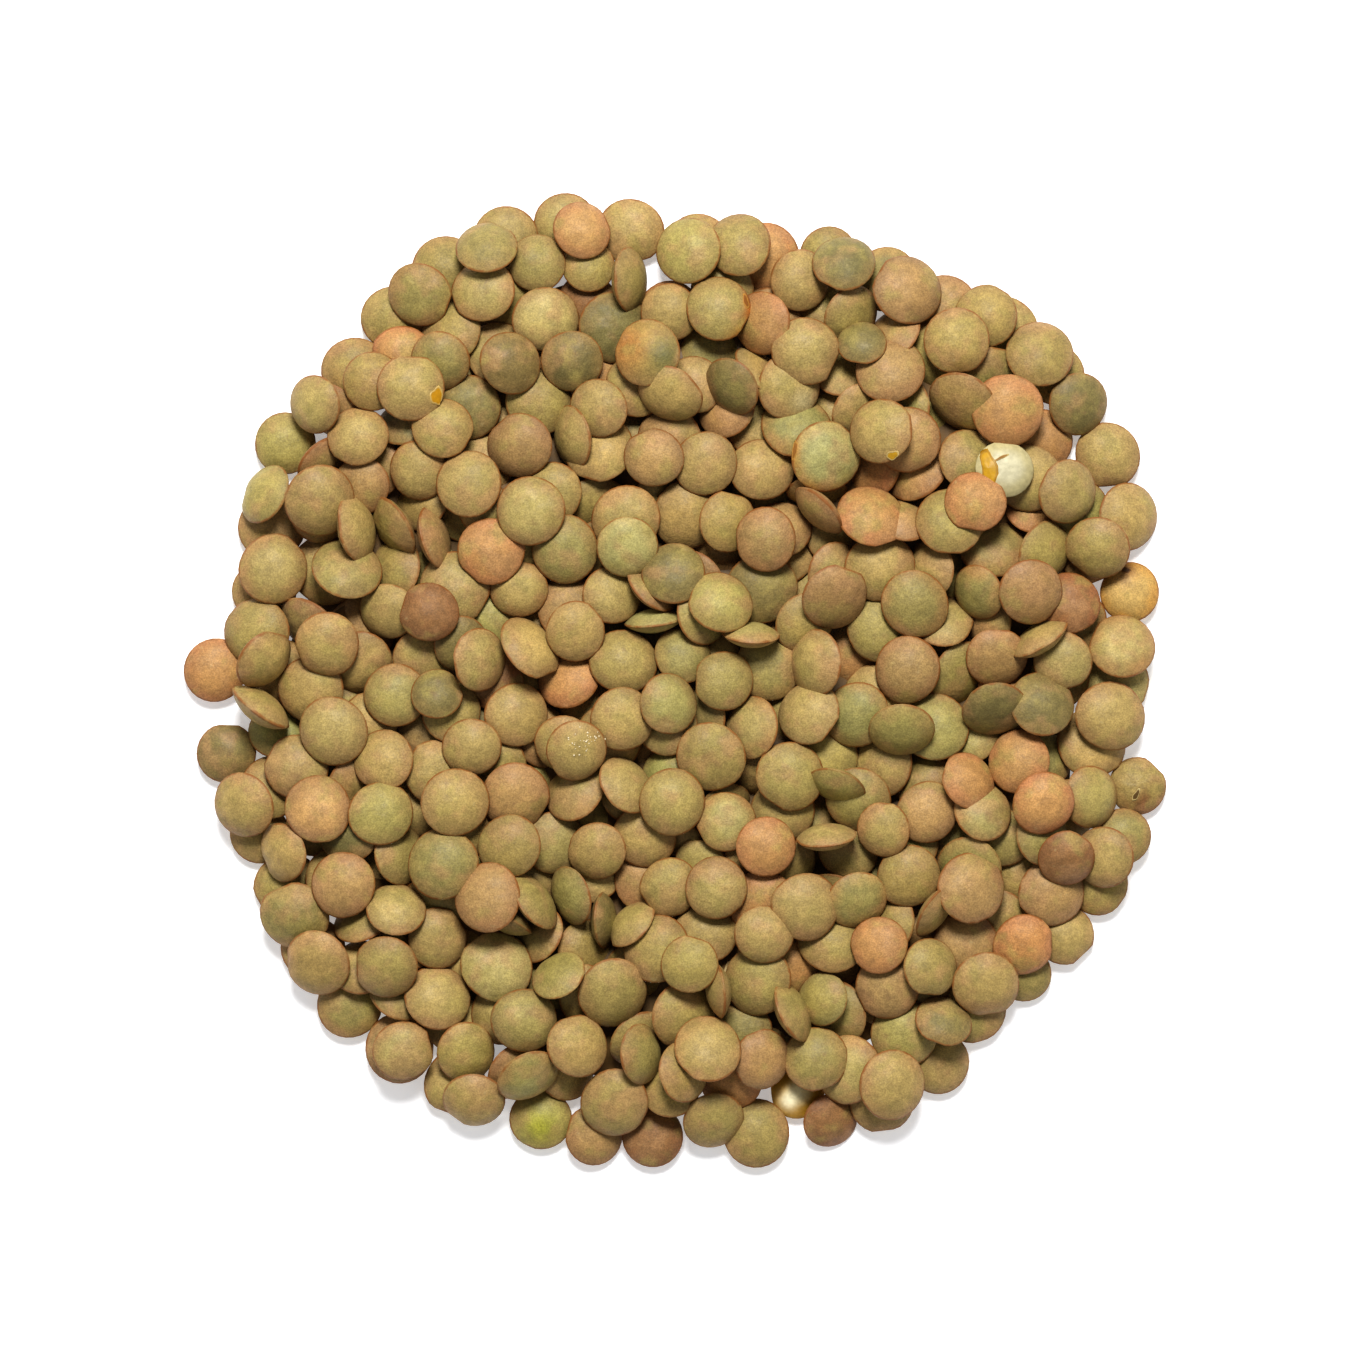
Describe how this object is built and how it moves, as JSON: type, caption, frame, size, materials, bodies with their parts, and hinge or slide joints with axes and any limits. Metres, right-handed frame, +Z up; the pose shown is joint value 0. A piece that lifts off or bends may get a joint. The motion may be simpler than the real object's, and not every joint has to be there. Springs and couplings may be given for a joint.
{
  "type": "heap of dry lentils",
  "caption": "Low, roughly round heap of loose dry green-brown lentils on a flat surface: overlapping lens-shaped seeds with an uneven edge.",
  "frame": {"origin": "middle of the heap's box, on the surface it lies on", "axes": "+Z up, out of the surface; +X to the picture's right and +Y to the picture's top, seen from straight above"},
  "size_m": [0.0984, 0.0969, 0.0088],
  "materials": {
    "lentil_skin": "dull, dry seed coat, olive green to tan"
  },
  "bodies": {
    "root": {"lentil_heap": "lentil_skin"}
  },
  "joints": []
}
